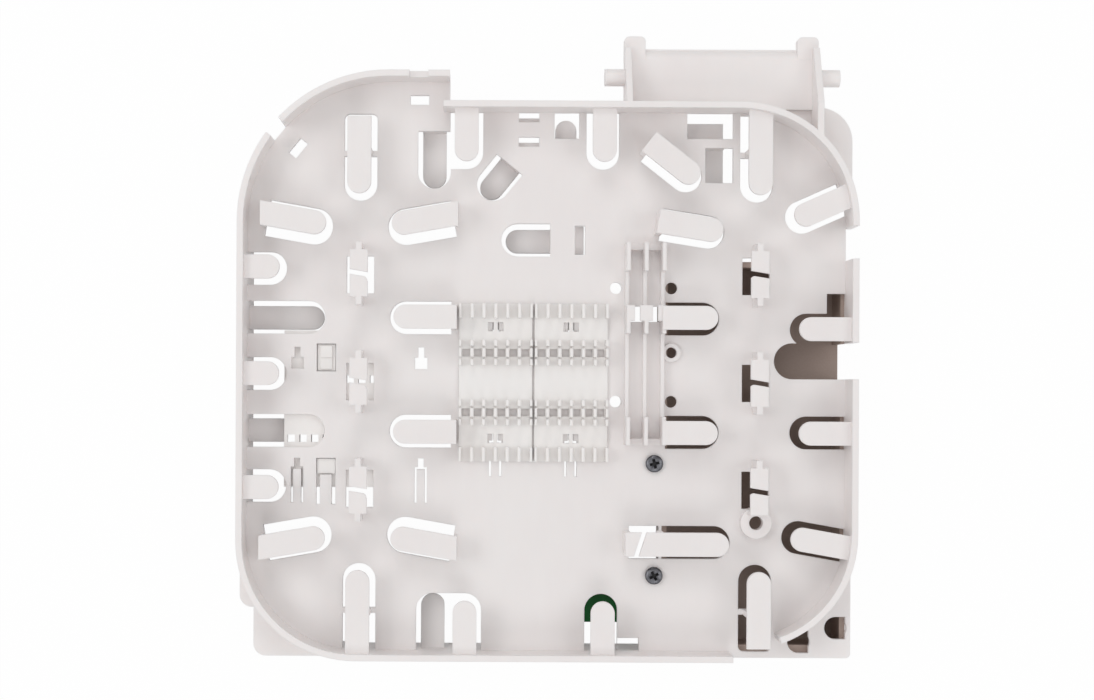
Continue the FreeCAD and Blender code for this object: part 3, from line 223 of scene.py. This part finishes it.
moulded = {  # shared by the three pale plastics
    "cloudScale": 26.0,
    "flowScale": 150.0,
    "flowStretch": (1.0, 0.28, 1.0),
    "flowTurn": (0.0, 0.0, 0.5),
    "grainScale": 3600.0,
    "cloudShare": 0.6,
    "tone": (0.40, 0.64),
    "edgeShare": 0.55,
    "speckPick": 0.86,  # the cells above this have a speck
    "speckRadius": 0.020,  # in cells
    "speckShare": 0.8,
    "grainShare": 0.7,
    "relief": 0.16,
    "reliefDepth": 0.05 * mm,
    "roughSwing": 0.10,
    "glowTint": (1.0, 0.92, 0.88),
}


def makeMoulded(name, look):  # satin moulded plastic with faint flow marks, specks and a painted highlight along its edges
    finish = newFinish(name)
    place = finish.place()
    clouds = finish.noise(place, moulded["cloudScale"], 2.0)
    drawn = finish.stretch(place, moulded["flowStretch"], moulded["flowTurn"])
    flow = finish.noise(drawn, moulded["flowScale"], 4.0, 0.6)
    grain = finish.noise(place, moulded["grainScale"], 2.0, 0.6)
    cloudShare = moulded["cloudShare"]
    tone = finish.ramp(clouds * cloudShare + flow * (1.0 - cloudShare), *moulded["tone"])
    body = finish.blend(tone, look["plain"], look["warm"])
    rounded = finish.softEdges(look["edgeRadius"])
    # the lighter edge colour here is a painted highlight
    edged = finish.blend(finish.edgeMask(rounded) * moulded["edgeShare"], body, look["edge"])
    cells = {"Vector": place, "Scale": look["speckCell"], "Randomness": 1.0}
    near = finish.add("ShaderNodeTexVoronoi", {"feature": "F1"}, cells, "Distance")
    pick = finish.add("ShaderNodeTexVoronoi", {"feature": "F1"}, cells, "Color")
    chosen = finish.add("ShaderNodeSeparateColor", {}, {"Color": pick}, "Red") > moulded["speckPick"]
    speck = (near < moulded["speckRadius"]) * chosen
    base = finish.blend(speck * moulded["speckShare"], edged, look["speck"])
    grainShare = moulded["grainShare"]
    height = grain * grainShare + flow * (1.0 - grainShare)
    normal = finish.relief(height, moulded["relief"], moulded["reliefDepth"], rounded)
    swing = moulded["roughSwing"]
    finish.close({"Base Color": base, "Roughness": look["roughness"] + swing * flow - swing / 2,
                  "Normal": normal, "IOR": 1.5, "Specular IOR Level": 0.42,
                  "Subsurface Weight": look["glow"], "Subsurface Radius": moulded["glowTint"],
                  "Subsurface Scale": look["glowReach"]})
    return finish.owner


holderPlastic = {
    "plain": colour(0.912, 0.890, 0.875),
    "warm": colour(0.897, 0.866, 0.846),
    "edge": colour(0.925, 0.905, 0.892),
    "speck": colour(0.420, 0.300, 0.200),
    "roughness": 0.42,
    "edgeRadius": 0.20 * mm,
    "speckCell": 110.0,
    "glow": 0.20,
    "glowReach": 1.2 * mm,
}

latchPlastic = {
    "plain": colour(0.780, 0.775, 0.740),
    "warm": colour(0.745, 0.735, 0.690),
    "edge": colour(0.830, 0.825, 0.800),
    "speck": colour(0.450, 0.430, 0.380),
    "roughness": 0.38,
    "edgeRadius": 0.12 * mm,
    "speckCell": 160.0,
    "glow": 0.30,
    "glowReach": 1.0 * mm,
}

coverPlastic = {
    "body": colour(0.345, 0.262, 0.225),
    "dusty": colour(0.390, 0.305, 0.265),
    "roughness": 0.55,
    "roughSwing": 0.12,
    "edgeRadius": 0.30 * mm,
    "cloudScale": 34.0,
    "grainScale": 1500.0,
    "cloudShare": 0.7,
    "dust": (0.42, 0.66),
    "relief": 0.25,
    "reliefDepth": 0.08 * mm,
}


def makeCover():  # warm grey moulded plastic with a leather-like grain
    finish = newFinish("coverPlastic")
    place = finish.place()
    clouds = finish.noise(place, coverPlastic["cloudScale"], 3.0)
    grain = finish.noise(place, coverPlastic["grainScale"], 3.0, 0.6)
    share = coverPlastic["cloudShare"]
    dust = finish.ramp(clouds * share + grain * (1.0 - share), *coverPlastic["dust"])
    base = finish.blend(dust, coverPlastic["body"], coverPlastic["dusty"])
    rounded = finish.softEdges(coverPlastic["edgeRadius"])
    normal = finish.relief(grain, coverPlastic["relief"], coverPlastic["reliefDepth"], rounded)
    swing = coverPlastic["roughSwing"]
    finish.close({"Base Color": base, "Roughness": coverPlastic["roughness"] + swing * clouds - swing / 2,
                  "Normal": normal, "IOR": 1.5})
    return finish.owner


adapterGreen = {
    "body": colour(0.001, 0.105, 0.018),
    "deep": colour(0.001, 0.075, 0.012),
    "edge": colour(0.010, 0.180, 0.045),
    "roughness": 0.42,
    "roughSwing": 0.12,
    "edgeRadius": 0.15 * mm,
    "edgeShare": 0.6,
    "swirlScale": 300.0,
    "swirlStretch": (1.0, 0.3, 1.0),
    "fineScale": 4200.0,
    "fineShare": 0.4,
    "tone": (0.35, 0.65),
    "relief": 0.12,
    "reliefDepth": 0.05 * mm,
}


def makeGreen():  # satin green moulding with shallow swirls and a painted highlight along its edges
    finish = newFinish("adapterGreen")
    place = finish.place()
    drawn = finish.stretch(place, adapterGreen["swirlStretch"])
    swirl = finish.noise(drawn, adapterGreen["swirlScale"], 3.0)
    fine = finish.noise(place, adapterGreen["fineScale"], 2.0)
    rounded = finish.softEdges(adapterGreen["edgeRadius"])
    tone = finish.ramp(swirl, *adapterGreen["tone"])
    body = finish.blend(tone, adapterGreen["body"], adapterGreen["deep"])
    # the lighter green along the edges is a painted highlight
    wearAndHighlight = finish.edgeMask(rounded) * adapterGreen["edgeShare"]
    base = finish.blend(wearAndHighlight, body, adapterGreen["edge"])
    share = adapterGreen["fineShare"]
    height = fine * share + swirl * (1.0 - share)
    normal = finish.relief(height, adapterGreen["relief"], adapterGreen["reliefDepth"], rounded)
    finish.close({"Base Color": base, "Normal": normal, "IOR": 1.5, "Specular IOR Level": 0.25,
                  "Roughness": adapterGreen["roughness"] + adapterGreen["roughSwing"] * swirl})
    return finish.owner


screwSteel = {
    "dull": colour(0.055, 0.056, 0.064),
    # the lighter tone: wear in the scratches and patches, and a painted highlight along the edges
    "wearAndHighlight": colour(0.185, 0.186, 0.200),
    "roughness": 0.36,
    "lay": (1.0, 1.0, 0.2),
}

clipSteel = {
    "dull": colour(0.400, 0.400, 0.405),
    # the lighter tone: wear in the scratches and patches, and a painted highlight along the edges
    "wearAndHighlight": colour(0.520, 0.520, 0.530),
    "roughness": 0.30,
    "lay": (1.0, 0.08, 1.0),
}

steel = {  # shared by the screws and the clip
    "recessShade": colour(0.016, 0.016, 0.018),  # painted shade in the screws' recesses
    "recessShadeRough": 0.30,
    "scratchScale": 5200.0,
    "patchScale": 900.0,
    "scratchShare": 0.5,
    "tone": (0.38, 0.66),
    "roughSwing": 0.20,
    "edgeRadius": 0.10 * mm,
    "edgeShare": 0.5,
    "relief": 0.20,
    "reliefDepth": 0.02 * mm,
}


def makeSteel(name, look):  # drawn or plated steel with fine scratches, a painted highlight along its edges and dark painted shade in its screw recesses
    finish = newFinish(name)
    place = finish.place()
    scratch = finish.noise(finish.stretch(place, look["lay"]), steel["scratchScale"], 4.0, 0.65)
    patch = finish.noise(place, steel["patchScale"], 3.0)
    rounded = finish.softEdges(steel["edgeRadius"])
    share = steel["scratchShare"]
    tone = finish.ramp(scratch * share + patch * (1.0 - share), *steel["tone"])
    body = finish.blend(tone, look["dull"], look["wearAndHighlight"])
    # the lighter edge colour here is a painted highlight
    edged = finish.blend(finish.edgeMask(rounded) * steel["edgeShare"], body, look["wearAndHighlight"])
    # the faces in the screws' recesses are painted near-black and non-metallic: painted shade
    paintedShade = finish.add("ShaderNodeAttribute", {"attribute_name": "recess"}, output="Fac")
    base = finish.blend(paintedShade, edged, steel["recessShade"])
    normal = finish.relief(scratch, steel["relief"], steel["reliefDepth"], rounded)
    swing = steel["roughSwing"]
    rough = look["roughness"] + swing * patch + steel["recessShadeRough"] * paintedShade - swing / 2
    finish.close({"Base Color": base, "Roughness": rough, "Metallic": 1.0 - paintedShade, "Normal": normal})
    return finish.owner


ceramic = {
    "body": colour(0.830, 0.815, 0.765),
    "warm": colour(0.790, 0.770, 0.710),
    "roughness": 0.14,
    "roughSwing": 0.14,
    "edgeRadius": 0.05 * mm,
    "groundScale": 3800.0,
    "groundStretch": (1.0, 0.15, 1.0),
    "patchScale": 500.0,
    "tone": (0.40, 0.62),
    "relief": 0.10,
    "reliefDepth": 0.01 * mm,
}


def makeCeramic():  # ground and polished zirconia
    finish = newFinish("sleeveCeramic")
    place = finish.place()
    drawn = finish.stretch(place, ceramic["groundStretch"])
    ground = finish.noise(drawn, ceramic["groundScale"], 3.0)
    patch = finish.noise(place, ceramic["patchScale"], 3.0)
    base = finish.blend(finish.ramp(patch, *ceramic["tone"]), ceramic["body"], ceramic["warm"])
    rounded = finish.softEdges(ceramic["edgeRadius"])
    normal = finish.relief(ground, ceramic["relief"], ceramic["reliefDepth"], rounded)
    finish.close({"Base Color": base, "Roughness": ceramic["roughness"] + ceramic["roughSwing"] * ground,
                  "Normal": normal, "IOR": 2.1})
    return finish.owner


finishes = {
    "tray_plastic": makeMoulded("trayPlastic", trayPlastic),
    "holder_plastic": makeMoulded("holderPlastic", holderPlastic),
    "latch_plastic": makeMoulded("latchPlastic", latchPlastic),
    "cover_plastic": makeCover(),
    "adapter_green": makeGreen(),
    "screw_steel": makeSteel("screwSteel", screwSteel),
    "clip_steel": makeSteel("clipSteel", clipSteel),
    "sleeve_ceramic": makeCeramic(),
}

for subpart in frame["record"]["subparts"]:
    holder = nodes[subpart["node"]]
    holder.data.materials.clear()
    holder.data.materials.append(finishes[subpart["material_slot"]])
print("finishes:", len(finishes))


panScrew = {
    "headRadius": 2.8 * mm,
    "headHeight": 1.9 * mm,
    "crown": 0.75 * mm,  # rise of the dome above its rim
    "domeSteps": 10,
    "domeSweep": math.radians(82),
    "domeLow": 0.139,  # cosine of the sweep
    "sideFoot": 0.35 * mm,  # where the head's side turns in
    "footInset": 0.18 * mm,
    "shankRadius": 1.18 * mm,
    "threadRadius": 1.4 * mm,
    "threadPitch": 0.9 * mm,
    "threadShares": (0.35, 0.62, 0.74),  # root's end, crest's start and crest's end in one pitch
    "neckLength": 0.5 * mm,
    "tipLength": 1.6 * mm,
    "tipRadius": 0.35 * mm,
    "recessReach": 2.00 * mm,
    "recessWidth": 1.00 * mm,
    "recessDepth": 1.45 * mm,
    "recessTaper": (0.42, 0.80),  # share of the reach and width left at the bottom
    "cutterRise": 0.6 * mm,  # above the head's top
    # how far past the recess the painted shade reaches
    "shadeMargin": 0.05 * mm,
    "shadeStart": 0.30 * mm,  # below the head's top, where the painted shade in the recess begins
    "turns": (math.radians(14), math.radians(28)),
    "sharpAngle": math.radians(32),
    "steps": 64,
    "weld": 0.002 * mm,
}


def spinProfile(points, steps):  # turns a profile, given as radius and height, about Z
    mesh = bmesh.new()
    line = [mesh.verts.new((radius, 0.0, height)) for radius, height in points]
    edges = [mesh.edges.new(pair) for pair in zip(line, line[1:])]
    bmesh.ops.spin(mesh, geom=line + edges, cent=(0, 0, 0), axis=(0, 0, 1), dvec=(0, 0, 0),
                   angle=math.tau, steps=steps, use_merge=True, use_duplicate=False)
    bmesh.ops.remove_doubles(mesh, verts=mesh.verts, dist=panScrew["weld"])
    bmesh.ops.recalc_face_normals(mesh, faces=mesh.faces)
    return mesh


def toObject(mesh, name):
    data = bpy.data.meshes.new(name)
    mesh.to_mesh(data)
    mesh.free()
    made = bpy.data.objects.new(name, data)
    scene.collection.objects.link(made)
    return made


def headProfile():  # dome, side and the small inset under it
    radius, crown, low = panScrew["headRadius"], panScrew["crown"], panScrew["domeLow"]
    rim = panScrew["headHeight"] - crown
    outline = [(0.0, panScrew["headHeight"])]
    for step in range(1, panScrew["domeSteps"] + 1):
        angle = step / panScrew["domeSteps"] * panScrew["domeSweep"]
        outline.append((radius * math.sin(angle) / math.sin(panScrew["domeSweep"]),
                        rim + crown * (math.cos(angle) - low) / (1.0 - low)))
    outline.append((radius, panScrew["sideFoot"]))
    outline.append((radius - panScrew["footInset"], 0.0))
    return outline


def shankProfile(length):  # a row of thread crests down to the point
    root, crest, pitch = panScrew["shankRadius"], panScrew["threadRadius"], panScrew["threadPitch"]
    rootEnd, crestStart, crestEnd = panScrew["threadShares"]
    low = -length
    outline = [(crest, 0.0)]
    height = -panScrew["neckLength"]
    while height - pitch > low + panScrew["tipLength"]:
        outline.append((root, height))
        outline.append((root, height - rootEnd * pitch))
        outline.append((crest, height - crestStart * pitch))
        outline.append((crest, height - crestEnd * pitch))
        height -= pitch
    outline.append((root, height))
    outline.append((panScrew["tipRadius"], low))
    outline.append((0.0, low))
    return outline


def crossCutter(centre, top, turn):  # two tapered bars crossing at the head's middle
    rise = panScrew["cutterRise"]
    deep = panScrew["recessDepth"] + rise
    bar = (2 * panScrew["recessReach"], panScrew["recessWidth"], deep)
    mesh = bmesh.new()
    for quarter in (0.0, math.pi / 2):
        block = bmesh.ops.create_cube(mesh, size=1.0)["verts"]
        bmesh.ops.scale(mesh, vec=bar, verts=block)
        for vert in block:
            if vert.co.z < 0:
                vert.co.x *= panScrew["recessTaper"][0]
                vert.co.y *= panScrew["recessTaper"][1]
        spin = Matrix.Rotation(quarter + turn, 3, "Z")
        bmesh.ops.translate(mesh, vec=(0, 0, rise - deep / 2), verts=block)
        bmesh.ops.rotate(mesh, cent=(0, 0, 0), matrix=spin, verts=block)
        bmesh.ops.translate(mesh, vec=(centre.x, centre.y, top), verts=block)
    return toObject(mesh, "crossCutter")


def cutHead(blank, cutter):  # the blank's mesh less the cutter's
    cut = blank.modifiers.new("recess", "BOOLEAN")
    cut.operation = "DIFFERENCE"
    cut.solver = "EXACT"
    cut.use_self = True
    cut.object = cutter
    graph = bpy.context.evaluated_depsgraph_get()
    shape = bpy.data.meshes.new_from_object(blank.evaluated_get(graph))
    bpy.data.objects.remove(blank)
    bpy.data.objects.remove(cutter)
    return shape


def markRecess(data, centres, low, high):  # 1 on the faces inside the cross, which take the painted shade
    reach = panScrew["recessReach"] + panScrew["shadeMargin"]
    paintedShade = data.attributes.new("recess", "FLOAT", "FACE")
    for face in data.polygons:
        away = min((face.center.xy - centre.xy).length for centre in centres)
        inside = away < reach and low < face.center.z < high - panScrew["shadeStart"]
        paintedShade.data[face.index].value = 1.0 if inside else 0.0


def makeScrews():
    low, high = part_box("tray_screws")
    seat = high.z - panScrew["headHeight"]
    radius = panScrew["headRadius"]
    rows = (high.y - radius, low.y + radius)
    centres = [Vector((low.x + radius, row, seat)) for row in rows]
    whole = bmesh.new()
    for centre, turn in zip(centres, panScrew["turns"]):
        head = spinProfile(headProfile() + shankProfile(seat - low.z), panScrew["steps"])
        bmesh.ops.translate(head, vec=centre, verts=head.verts)
        shape = cutHead(toObject(head, "screwBlank"), crossCutter(centre, high.z, turn))
        whole.from_mesh(shape)
        bpy.data.meshes.remove(shape)
    bmesh.ops.remove_doubles(whole, verts=whole.verts, dist=panScrew["weld"])
    screws = toObject(whole, "panScrews")
    screws.data.materials.clear()
    screws.data.materials.append(finishes["screw_steel"])
    screws.data.shade_smooth()
    screws.data.set_sharp_from_angle(angle=panScrew["sharpAngle"])
    markRecess(screws.data, centres, seat, high.z)
    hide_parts("tray_screws")
    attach(screws, "root")


makeScrews()
print("screws: made")


studio = {
    "floorSide": 8.0,
    "floorDrop": 0.05 * mm,
    "floorColour": colour(0.86, 0.86, 0.86),
    "whiteShare": 0.975,  # what the camera sees as plain white, the rest takes the shadow
    "skyLevel": 0.515,
    "white": colour(1, 1, 1),
    "lampSize": (0.7, 0.5),
    "lamps": [  # name, place and power in watts
        ("softBoxHigh", (-0.15, 0.88, 0.95), 2.30),
        ("softBoxLow", (0.10, -0.88, 0.95), 2.15),
        ("softBoxLeft", (-0.88, 0.10, 0.95), 2.95),
        ("softBoxRight", (0.88, -0.05, 0.95), 1.85),
    ],
}


def directRay(finish):  # camera, mirror and glass rays all see the white
    path = "ShaderNodeLightPath"
    seen = finish.add(path, output="Is Camera Ray") + finish.add(path, output="Is Glossy Ray")
    seen = seen + finish.add(path, output="Is Transmission Ray")
    return seen.join("MINIMUM", seen, 1.0)


def makeFloor():
    mesh = bmesh.new()
    bmesh.ops.create_grid(mesh, x_segments=2, y_segments=2, size=studio["floorSide"] / 2)
    bmesh.ops.translate(mesh, vec=(0, 0, cadBox[0][2] - studio["floorDrop"]), verts=mesh.verts)
    floor = toObject(mesh, "floor")
    finish = newFinish("floorWhite")
    matt = finish.add("ShaderNodeBsdfDiffuse", {}, {"Color": studio["floorColour"]})
    glow = finish.add("ShaderNodeEmission", {}, {"Color": studio["white"], "Strength": 1.0})
    share = directRay(finish) * studio["whiteShare"]
    both = finish.add("ShaderNodeMixShader", {}, {0: share, 1: matt, 2: glow})
    finish.add("ShaderNodeOutputMaterial", {}, {"Surface": both})
    floor.data.materials.append(finish.owner)


def makeSky():
    world = bpy.data.worlds.new("studioSky")
    scene.world = world
    finish = Finish(world)
    back, tint = "ShaderNodeBackground", studio["white"]
    light = finish.add(back, {}, {"Color": tint, "Strength": studio["skyLevel"]})
    white = finish.add(back, {}, {"Color": tint, "Strength": 1.0})
    both = finish.add("ShaderNodeMixShader", {}, {0: directRay(finish), 1: light, 2: white})
    finish.add("ShaderNodeOutputWorld", {}, {"Surface": both})


def makeLamps():
    for name, place, power in studio["lamps"]:
        data = bpy.data.lights.new(name, "AREA")
        data.shape = "RECTANGLE"
        data.size, data.size_y = studio["lampSize"]
        data.energy = power
        lamp = bpy.data.objects.new(name, data)
        lamp.location = place
        lamp.rotation_euler = Vector(place).to_track_quat("Z", "Y").to_euler()
        scene.collection.objects.link(lamp)


makeFloor()
makeSky()
makeLamps()
print("studio: lit")
